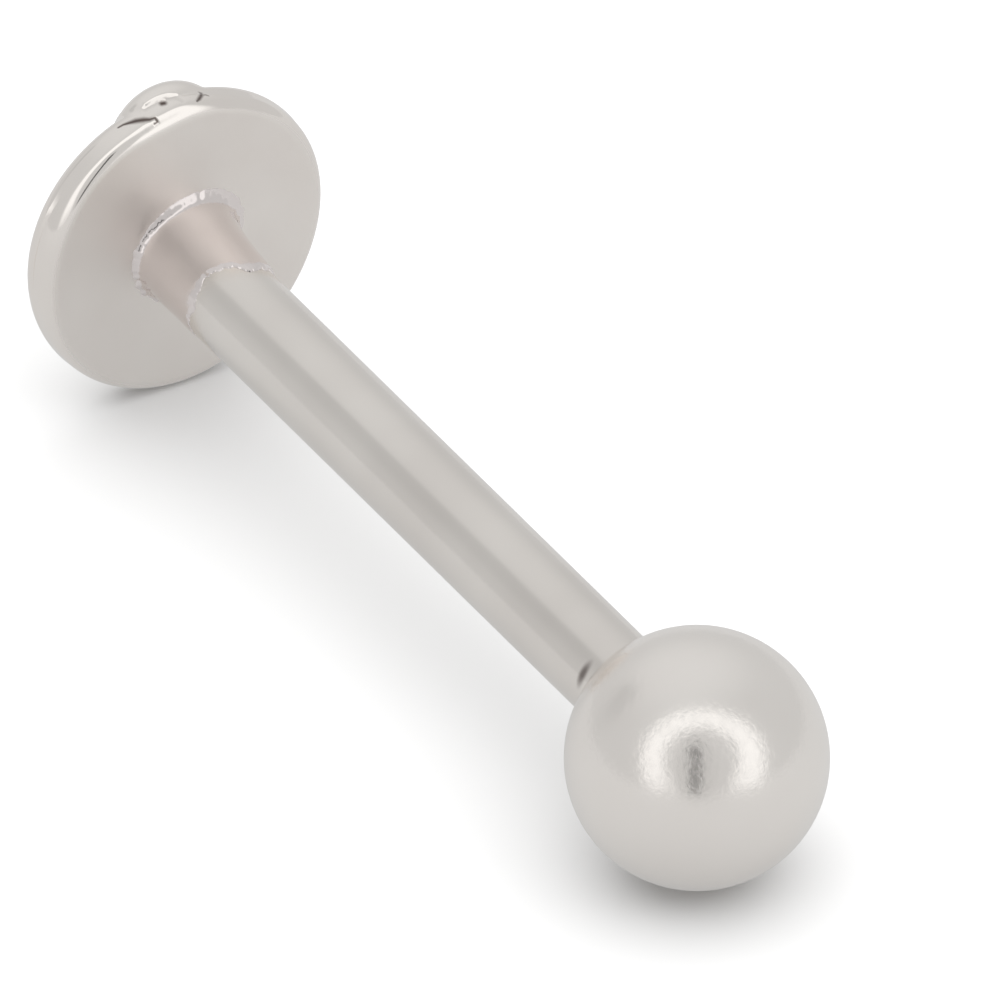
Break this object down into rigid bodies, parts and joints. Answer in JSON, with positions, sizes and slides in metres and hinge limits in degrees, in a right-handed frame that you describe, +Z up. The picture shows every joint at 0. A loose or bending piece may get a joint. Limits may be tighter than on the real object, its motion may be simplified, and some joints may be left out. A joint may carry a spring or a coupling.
{
  "type": "labret stud",
  "caption": "Labret stud: a flat-backed domed head soldered to a straight round post, with a ball that screws on the post's other end.",
  "frame": {"origin": "middle of the stud's box, on the surface that it lies on", "axes": "+X runs along the post from the head to the ball, level with the surface, +Z up"},
  "size_m": [0.0146, 0.004, 0.0042],
  "materials": {
    "white_gold": "unplated white gold, polished to a soft mirror",
    "white_gold_ball": "unplated white gold, satin polish"
  },
  "bodies": {
    "headed_post": {"headed_post": "white_gold"},
    "ball": {"ball": "white_gold_ball"}
  },
  "joints": [
    {"name": "ball_off", "type": "slide", "parent": "headed_post", "child": "ball", "axis": [0.9993, 0, -0.0362], "range_m": [0, 0.012]}
  ]
}
